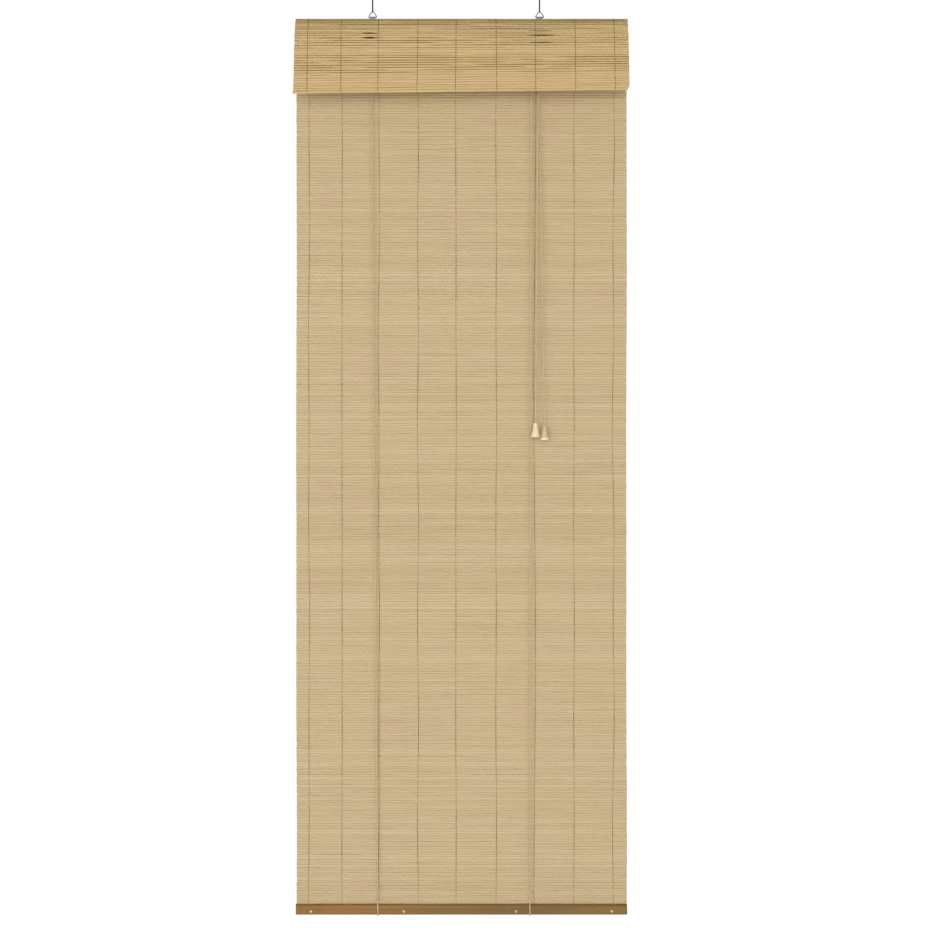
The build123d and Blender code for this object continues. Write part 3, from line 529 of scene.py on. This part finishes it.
def woven_slats(stretches, centre, tangent, normal, pitch, half, ends, tone, gap, seam_shade, top_shade, slant,
                edge_ease, roll):
    """Slats along X that meet at shared, slightly wavering seams, as one object for each stretch (name, first, end).

    A slat reaches from its upper seam + gap / 2 to its lower seam - gap / 2, along the tangent from its centre.
    centre, tangent and normal are (count, 2) in Y and Z, ends is (count, 2) in X, and gap and the seams' painted
    shade are (count + 1, rings) for the seams. The seams' painted shade darkens each slat's edges, and the painted
    top shade darkens whole slats. The section is a flat bar with eased edges, rolled a little about X."""
    count, rings = len(centre), gap.shape[1]
    margin = SLAT_EDGE / (2 * half)
    share = np.concatenate([[0], np.linspace(margin, 1 - margin, rings - 2), [1]])
    x = ends[:, :1] + (ends[:, 1:] - ends[:, :1]) * share
    offset = CHANCE.normal(0, SEAM_SPREAD, (count + 1, 1)).clip(-2 * SEAM_SPREAD, 2 * SEAM_SPREAD)
    line = offset + SLAT_WOBBLE * wavering(count + 1, share, (1.3, 2.9, 5.1))
    top = line[:-1] + gap[:-1] / 2 - pitch / 2
    foot = line[1:] - gap[1:] / 2 + pitch / 2
    out = np.array([-0.5, -0.2, 0.2, 0.5, 0.5, 0.2, -0.2, -0.5])
    ease = edge_ease / pitch
    run = np.array([ease - 0.5, -0.5, -0.5, ease - 0.5, 0.5 - ease, 0.5, 0.5, 0.5 - ease])
    thick = SLAT_THICKNESS * CHANCE.uniform(0.8, 1.1, (count, 1, 1))
    push = SLAT_WOBBLE * wavering(count, share, (0.8, 2.1, 4.2))
    along = ((top + foot) / 2)[..., None] + (foot - top)[..., None] * run
    tilt = roll * wavering(count, share, (0.6, 1.9, 4.4))
    outward = push[..., None] - thick * out + pitch * tilt[..., None] * run
    yz = (centre[:, None, None] + outward[..., None] * normal[:, None, None]
          + along[..., None] * tangent[:, None, None])
    grids = np.empty((count, rings, len(run), 3))
    grids[..., 0] = x[..., None]
    grids[..., 1] = yz[..., 0]
    grids[..., 2] = yz[..., 1] + slant[:, None, None] * (x / half)[..., None]
    ring, side = tube_grid(rings, len(run))
    shift = CHANCE.uniform(0, 1, (2, count))
    rise = np.append(run, run[0])
    wide = np.ones((1, rings, len(run)))
    edge = np.abs(run) == 0.5
    # painted shade at the seams: each slat's upper and lower edges take the shade of the seam beside them
    dark = np.where(edge & (run < 0), seam_shade[:-1, :, None], 0) + np.where(edge & (run > 0), seam_shade[1:, :, None], 0)
    values = {"tone": tone[:, None, None] * wide, "seam_shade": dark, "top_shade": top_shade[:, None, None] * wide}
    made = []
    for name, first, end in stretches:
        layers = {
            "grain": lambda which, ring, side: (2 * half * share[ring] + shift[0, which + first],
                                                (which + first) * 0.37 + pitch * rise[side]),
            "place": lambda which, ring, side: (2 * half * share[ring], (which + first + rise[side]) * pitch),
        }
        part = {key: array[first:end] for key, array in values.items()}
        made.append(mesh_object(name, grids[first:end], ring, side, layers, part))
    return made


def warp_threads(stretches, profile, normal, places, slant, half):
    """Pairs of threads that cross between slats: out = a cos(pi s), aside = b sin(pi s), s counted in slats.

    profile(s) gives Y and Z at s, normal(s) the way out, and places holds each pair's X."""
    wander = CHANCE.normal(0, 1, (len(places), 2))
    made = []
    for name, start, end in stretches:
        steps = np.linspace(start, end, (end - start) * THREAD_STEPS + 1)
        yz, way = profile(steps), normal(steps)
        angles = np.broadcast_to(2 * np.pi * np.arange(THREAD_SIDES) / THREAD_SIDES, (len(steps), THREAD_SIDES))
        tubes = []
        for x, (slow, quick) in zip(places, wander):
            sway = THREAD_SWAY * (slow * np.sin(steps / 31.0) + quick * np.sin(steps / 12.0 + 1.0))
            for sign in (1, -1):
                out = sign * np.cos(np.pi * (steps - 0.5)) * (SLAT_THICKNESS / 2 + 0.6 * THREAD_RADIUS)
                aside = sign * THREAD_ASIDE * np.sin(np.pi * (steps - 0.5))
                line = np.empty((len(steps), 3))
                line[:, 0] = x + sway + aside
                line[:, 1:] = yz + out[:, None] * way
                line[:, 2] += slant(steps) * line[:, 0] / half
                tubes.append(ring_points(line, THREAD_RADIUS, angles, X_AXIS))
        ring, side = tube_grid(len(steps), THREAD_SIDES)
        step = PITCH / THREAD_STEPS
        layers = {"grain": lambda which, ring, side: (ring * step + 0.21 * which, side / THREAD_SIDES)}
        made.append(mesh_object(name, np.array(tubes), ring, side, layers))
    return made


def slat_ends(count, half, jitter, drift):
    """Left and right X of each slat: a slow drift down the mat and a cut that is never quite true."""
    down = np.arange(count)
    slow = drift * (np.sin(down / 41.0) + 0.6 * np.sin(down / 17.0 + 2.0))
    left = -half + slow + CHANCE.uniform(-1, 1, count) * jitter
    right = half + slow + CHANCE.uniform(-1, 1, count) * jitter
    return np.stack([np.maximum(left, -half - END_LIMIT), np.minimum(right, half + END_LIMIT)], -1)


def slat_tones(count):
    """How pale each slat is, from plain to much paler, in short runs from the same culm."""
    lone = CHANCE.uniform(0, 1, count)
    run = np.repeat(CHANCE.uniform(0, 1, count // 4 + 1), 4)[:count]
    return np.clip(0.55 * lone ** 2 + 0.3 * run, 0, 1)


def seam_darkness(count, rings, low, high, steady):
    """How much painted shade each seam gets along X: some are tight and nearly unseen, others open for part of their
    way.
    """
    share = np.linspace(0, 1, rings)
    own = CHANCE.uniform(0, 1, (count + 1, 1)) ** 1.5
    rows = 0.5 + 0.5 * np.sin(np.arange(count + 1) / 3.1 + 2.0 * np.sin(np.arange(count + 1) / 9.0))
    fade = (steady + (1 - steady) * wavering(count + 1, share, (1.7, 3.9, 7.3))).clip(0, 1.3)
    return (low + (high - low) * (own + rows[:, None]) * fade).clip(0, 1)


def opened(gap, seams, centre, reach, size, half):
    """Opens some seams round a place along X: size * exp(-((x - centre) / reach) ** 4)."""
    x = np.linspace(-half, half, gap.shape[1])
    gap[seams] += size * np.exp(-((x - centre) / reach) ** 4)


def hanging_mat(material, thread):
    """The long mat: level slats from the head rail down into the bottom rail."""
    low, high = PANEL_LOW[2], PANEL_HIGH[2]
    count = int(round((high - low) / PITCH))
    pitch = (high - low) / count
    z = high - pitch * (np.arange(count) + 0.5)
    centre = np.stack([0.00018 * np.sin(np.arange(count) / 7.0), z], -1)
    tangent = np.tile([0.0, -1.0], (count, 1))
    normal = np.tile([-1.0, 0.0], (count, 1))
    half = PANEL_HIGH[0]
    rings = PANEL_SEGMENTS + 3
    gap = np.full((count + 1, rings), TIGHT_SEAM)
    # painted shade along the mat's seams, fading in and out along X
    seam_shade = seam_darkness(count, rings, 0.0, 0.6, 0.1)
    for drop, x, reach, size in PANEL_OPENINGS:
        at = int(round(drop / pitch))
        opened(gap, at, x, reach, size, half)
        # the open seam also gets the full painted shade
        opened(seam_shade, at, x, reach, 1.0, half)
    # the mat lies still against the rail, hangs free below the housings and is held fast in the bottom rail
    free = int(np.ceil((high - HOUSING_FOOT) / pitch)) + 1
    clamped = int((high - BATTEN_TOP) / pitch)
    parts = (("head", 0, free), ("hanging", free, clamped), ("clamped", clamped, count))
    slats = woven_slats([(f"mat_slats_{word}", first, end) for word, first, end in parts], centre, tangent, normal,
                        pitch, half, slat_ends(count, half, 0.0003, 0.0004), slat_tones(count), gap,
                        seam_shade.clip(0, 1), np.zeros(count), np.zeros(count), PANEL_EASE, PANEL_ROLL)
    threads = warp_threads([(f"mat_threads_{word}", first, end) for word, first, end in parts[:2]],
                           lambda s: np.stack([0 * s, high - pitch * s], -1),
                           lambda s: np.tile([-1.0, 0.0], (len(s), 1)),
                           THREAD_X, lambda s: 0 * s, half)
    for piece in slats + threads:
        piece.data.materials.append(thread if piece in threads else material)
        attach(piece, "bottom_rail" if piece is slats[2] else "root")
    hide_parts("panel_mat")
    for piece in (slats[1], threads[1]):
        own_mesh(piece)


def valance_profile():
    """The valance's middle line: level, then turned down over the fold, then easing towards plumb.

    The heading is straight between the bends, and Y and Z are its running sums."""
    stops = np.cumsum((0.0,) + FOLD_LENGTHS)
    fine = np.linspace(0, stops[-1] + VALANCE_TAIL, 2000)
    heading = np.interp(fine, stops, [0, 0, SLOPE_TURN, SLOPE_TURN, HANG_TURN, HANG_TURN])
    step = fine[1] - fine[0]
    y = RAIL_BACK - np.concatenate([[0], np.cumsum(np.cos(heading[:-1]))]) * step
    z = TOP_EDGE - HALF_MAT - np.concatenate([[0], np.cumsum(np.sin(heading[:-1]))]) * step
    return fine, y, z, heading


def valance(material, thread):
    """The short mat over the rail. A joint between two slats lies where the hanging straps come through."""
    fine, y, z, heading = valance_profile()
    strap_at = RAIL_BACK - STRAP_Y
    first = strap_at - PITCH * int(strap_at / PITCH)
    count = int((fine[-1] - VALANCE_TAIL - first) / PITCH)
    along = first + PITCH * (np.arange(count) + 0.5)

    def line(s):
        return np.stack([np.interp(s, fine, y), np.interp(s, fine, z)], -1)

    def way(s):
        turn = np.interp(s, fine, heading)
        return np.stack([-np.sin(turn), np.cos(turn)], -1)

    def lean(s):
        return VALANCE_SLANT * np.clip((s - strap_at) / (fine[-1] - strap_at), 0, 1) ** 1.5

    turn = np.interp(along, fine, heading)
    tangent = np.stack([-np.cos(turn), -np.sin(turn)], -1)
    half = VALANCE_HIGH[0]
    rings = VALANCE_SEGMENTS + 3
    seams = first + PITCH * np.arange(count + 1)
    drops = TOP_EDGE - np.interp(seams, fine, z)
    gap = np.full((count + 1, rings), TIGHT_SEAM)
    gap[int(round((strap_at - first) / PITCH))] = STRAP_SLOT
    # painted shade along the valance's seams; the most shaded seams also open a little below
    seam_shade = seam_darkness(count, rings, 0.1, 1.7, 0.6)
    seam_shade *= np.interp(drops, SEAM_DROPS, SEAM_SHARES)[:, None]
    for drop, x, reach, size in VALANCE_OPENINGS:
        at = int(np.abs(drops - drop).argmin())
        opened(gap, at, x, reach, size, half)
        # the open seam also gets the full painted shade
        opened(seam_shade, at, x, reach, 1.0, half)
    gap += OPEN_SEAM * seam_shade
    ends = slat_ends(count, half, 0.0004, 0.0002)
    ends[-1] += HEM_CUT
    # painted shade on the slats near the top edge, fading with the drop
    top_shade = TOP_SHADE * np.exp(-((TOP_EDGE - line(along)[:, 1]) / TOP_SHADE_REACH) ** 2)
    slats, = woven_slats([("valance_slats", 0, count)], line(along), tangent, way(along), PITCH, half, ends,
                         slat_tones(count), gap, seam_shade.clip(0, 1), top_shade, lean(along), VALANCE_EASE, VALANCE_ROLL)
    threads, = warp_threads([("valance_threads", 0, count)], lambda s: line(first + PITCH * s),
                            lambda s: way(first + PITCH * s), THREAD_X, lambda s: lean(first + PITCH * s), half)
    for piece, finish in ((slats, material), (threads, thread)):
        piece.data.materials.append(finish)
        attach(piece, "root")
    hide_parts("valance_mat")


# ======================================================================== hangers

def cut_corners(points, times=3):
    """A closed path with its corners rounded: each side's quarter points, over and over."""
    for _ in range(times):
        after = np.roll(points, -1, 0)
        points = np.stack([0.75 * points + 0.25 * after, 0.25 * points + 0.75 * after], 1).reshape(-1, 3)
    return points


def wire_hanger(name, x, material, node_name):
    """Bail, twisted stem and eye, all of one wire: the stem is two helices half a turn apart."""
    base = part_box(node_name)[0][2] + WIRE_RADIUS
    w = BAIL_HALF_WIDTH
    corners = np.array([(x - w, 0, base), (x + w, 0, base), (x + w, 0, base + BAIL_SIDE),
                        (x, 0, base + BAIL_TOP + 0.0006), (x - w, 0, base + BAIL_SIDE)])
    bail = cut_corners(corners)
    turn = np.linspace(0, 2 * np.pi, 48, endpoint=False)
    eye = np.stack([x + EYE_RADIUS * np.sin(turn), 0 * turn, EYE_RADIUS * np.cos(turn)], -1)
    stem_z = np.linspace(base + BAIL_TOP - 0.001, -EYE_RADIUS + 0.0004, 90)
    spin = 2 * np.pi * (stem_z - stem_z[0]) / STEM_LAY
    wires = [(bail, WIRE_RADIUS, True), (eye, WIRE_RADIUS, True)]
    for start in (0, np.pi):
        helix = np.stack([x + WIRE_RADIUS * np.cos(spin + start), WIRE_RADIUS * np.sin(spin + start), stem_z], -1)
        wires.append((helix, WIRE_RADIUS * 0.97, False))
    turn = 2 * np.pi * np.arange(WIRE_SIDES) / WIRE_SIDES
    layers = {"grain": lambda which, ring, side: (ring * 0.0004, side / WIRE_SIDES)}
    made = []
    for k, (path, radius, closed) in enumerate(wires):
        points = ring_points(path, radius, np.broadcast_to(turn, (len(path), WIRE_SIDES)), Y_AXIS, closed)
        ring, side = tube_grid(len(points), WIRE_SIDES, closed)
        made.append(mesh_object(f"{name}_{k}", points[None], ring, side, layers))
    bpy.ops.object.select_all(action="DESELECT")
    for piece in made:
        piece.select_set(True)
    bpy.context.view_layer.objects.active = made[0]
    bpy.ops.object.join()
    hanger = bpy.context.view_layer.objects.active
    hanger.name = name
    hanger.data.materials.append(material)
    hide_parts(node_name)
    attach(hanger, "root")


# ======================================================================== CAD nodes' finishes

def finish_node(name, material):
    """Gives a carried-over CAD node its material."""
    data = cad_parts[name].data
    data.materials.clear()
    data.materials.append(material)


def finish_nodes():
    rail = wood_material("planed_rail", (0.60, 0.45, 0.27), (0.47, 0.33, 0.18))
    stained = wood_material("stained_batten", (0.36, 0.165, 0.014), (0.155, 0.083, 0.007), 2.8, 95.0,
                            (0.45, 0.6), coat=0.03)
    peg = wood_material("bare_peg", (0.85, 0.68, 0.45), (0.68, 0.50, 0.29), 40.0, 300.0)
    strap = metal_material("dull_strap", (0.40, 0.40, 0.41), (0.24, 0.24, 0.25), roughness=(0.4, 0.6))
    bronze = metal_material("bronzed_housing", (0.17, 0.115, 0.065), (0.08, 0.052, 0.028), roughness=(0.35, 0.6))
    turned = metal_material("turned_pin", (0.62, 0.62, 0.63), (0.42, 0.42, 0.43), (60.0, 500.0, 60.0))
    zinc = metal_material("zinc_screw", (0.66, 0.66, 0.68), (0.45, 0.45, 0.48), (200.0, 200.0, 200.0))
    nylon = moulded_material("nylon_wheel", (0.82, 0.80, 0.74), (0.72, 0.70, 0.64))
    cream = moulded_material("cream_tassel", (0.97, 0.82, 0.56), (0.90, 0.73, 0.47))
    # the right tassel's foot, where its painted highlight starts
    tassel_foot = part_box("tassel_right")[0][2]
    # painted shade: the right tassel gets the cream tassel's plastic in darker colours
    shaded_cream = moulded_material("shaded_tassel", (0.70, 0.53, 0.31), (0.62, 0.46, 0.26),
                           rim=(tassel_foot + 0.002, tassel_foot + 0.005, (0.97, 0.84, 0.60)))
    for names, material in (
            (("head_rail",), rail), (("bottom_batten_front", "bottom_batten_back"), stained),
            (("batten_pins",), peg), (("hanging_strap_left", "hanging_strap_right"), strap),
            (("pulley_housing", "cord_lock_housing"), bronze),
            (("pulley_axle", "cord_lock_axle", "cord_lock_guide_pin", "locking_roller"), turned),
            (("strap_screws", "housing_screws", "panel_staples", "valance_staples"), zinc),
            (("pulley_wheel", "lock_wheel_rear", "lock_wheel_front"), nylon),
            (("tassel_left",), cream), (("tassel_right",), shaded_cream)):
        for name in names:
            finish_node(name, material)


def knot_material():
    """The cord's knots: tight yarns in Object coordinates."""
    material, tree, shader = new_material("knotted_cord", Roughness=0.8, Specular_IOR_Level=0.2)
    place = node(tree, "ShaderNodeTexCoord").outputs["Object"]
    yarn = noise(tree, stretched(tree, place, (900.0, 900.0, 420.0)), 1.0, 3.0)
    tree.links.new(ramp(tree, yarn, [(0.3, (0.45, 0.36, 0.23)), (0.65, (0.78, 0.68, 0.50))]),
                   shader.inputs["Base Color"])
    bumped(tree, shader, yarn, 0.6, 0.0003)
    return material


# ======================================================================== camera, light and floor

def make_camera():
    data = bpy.data.cameras.new("camera")
    data.lens = 50.0
    data.sensor_width = 36.0
    camera = bpy.data.objects.new("camera", data)
    camera.location = (EYE_X, -EYE_DISTANCE, TOP_EDGE - EYE_DROP)
    camera.rotation_euler = (np.radians(90), 0, 0)
    bpy.context.collection.objects.link(camera)
    bpy.context.scene.camera = camera


def area_light(name, place, target, size, power):
    data = bpy.data.lights.new(name, "AREA")
    data.shape = "DISK"
    data.size = size
    data.energy = power
    lamp = bpy.data.objects.new(name, data)
    lamp.location = place
    lamp.rotation_euler = (Vector(target) - Vector(place)).to_track_quat("-Z", "Y").to_euler()
    bpy.context.collection.objects.link(lamp)


def floor_material():
    """Pale floor that fades into the white surroundings towards its rim."""
    material, tree, shader = new_material("pale_floor", Roughness=0.8)
    place = node(tree, "ShaderNodeTexCoord").outputs["Object"]
    cloud = noise(tree, place, 1.5, 2.0)
    tree.links.new(ramp(tree, cloud, [(0.3, (0.80, 0.80, 0.79)), (0.7, (0.84, 0.84, 0.83))]),
                   shader.inputs["Base Color"])
    level = node(tree, "ShaderNodeMapping", {"Scale": (1.0, 1.0, 0.0)})
    tree.links.new(place, level.inputs["Vector"])
    radius = node(tree, "ShaderNodeVectorMath", operation="LENGTH")
    tree.links.new(level.outputs["Vector"], radius.inputs[0])
    fade = spread(tree, radius.outputs["Value"], 0.45, 1.0, 0.8, 0.9 * FLOOR_RADIUS)
    seen = node(tree, "ShaderNodeLightPath").outputs["Is Camera Ray"]
    share = node(tree, "ShaderNodeMath", operation="MULTIPLY")
    tree.links.new(fade, share.inputs[0])
    tree.links.new(seen, share.inputs[1])
    white = node(tree, "ShaderNodeEmission", {"Color": (1, 1, 1, 1), "Strength": SEEN_WHITE})
    both = node(tree, "ShaderNodeMixShader")
    tree.links.new(share.outputs["Value"], both.inputs["Fac"])
    tree.links.new(shader.outputs["BSDF"], both.inputs[1])
    tree.links.new(white.outputs["Emission"], both.inputs[2])
    tree.links.new(both.outputs["Shader"], tree.nodes["Material Output"].inputs["Surface"])
    return material


def make_studio():
    """White surroundings, broad lamps in front, below and behind, and a pale floor far below."""
    world = bpy.data.worlds.new("studio")
    bpy.context.scene.world = world
    world.use_nodes = True
    tree = world.node_tree
    tree.nodes.clear()
    seen = node(tree, "ShaderNodeBackground", {"Color": (1, 1, 1, 1), "Strength": SEEN_WHITE})
    fill = node(tree, "ShaderNodeBackground", {"Color": (1, 1, 1, 1), "Strength": FILL_WHITE})
    path = node(tree, "ShaderNodeLightPath")
    both = node(tree, "ShaderNodeMixShader")
    out = node(tree, "ShaderNodeOutputWorld")
    tree.links.new(path.outputs["Is Camera Ray"], both.inputs["Fac"])
    tree.links.new(fill.outputs["Background"], both.inputs[1])
    tree.links.new(seen.outputs["Background"], both.inputs[2])
    tree.links.new(both.outputs["Shader"], out.inputs["Surface"])
    for name, place, target, size, watts in LAMPS:
        area_light(name, place, target, size, watts)
    turn = np.linspace(0, 2 * np.pi, FLOOR_SIDES, endpoint=False)
    rim = np.stack([FLOOR_RADIUS * np.cos(turn), FLOOR_RADIUS * np.sin(turn), 0 * turn + FLOOR_Z], -1)
    mesh = bpy.data.meshes.new("floor")
    mesh.from_pydata(rim.tolist(), [], [list(range(FLOOR_SIDES))])
    floor = bpy.data.objects.new("floor", mesh)
    bpy.context.collection.objects.link(floor)
    floor.data.materials.append(floor_material())
    bpy.context.scene.view_settings.view_transform = "Standard"


make_camera()
make_studio()
CORD = cord_material("twisted_cord", (0.76, 0.61, 0.37), (0.60, 0.46, 0.26))
pull_cords(CORD)
lift_cords(CORD)
BAMBOO = bamboo_material("split_bamboo", (0.653, 0.513, 0.318), (0.571, 0.435, 0.246), (0.473, 0.351, 0.182))
VALANCE_BAMBOO = bamboo_material("valance_bamboo", (0.71, 0.51, 0.262), (0.63, 0.44, 0.21), (0.50, 0.34, 0.147))
THREAD = thread_material()
hanging_mat(BAMBOO, THREAD)
valance(VALANCE_BAMBOO, THREAD)
WIRE = metal_material("drawn_wire", (0.045, 0.045, 0.045), (0.012, 0.012, 0.012), (300.0, 300.0, 120.0),
                      (0.45, 0.65), 0.4)
for side, x in zip(("left", "right"), HANGER_X):
    wire_hanger(f"twisted_hanger_{side}", x, WIRE, f"hanger_wire_{side}")
finish_nodes()
KNOT = knot_material()
for side in ("left", "right"):
    finish_node(f"anchor_knot_{side}", KNOT)
    finish_node(f"tassel_knot_{side}", KNOT)
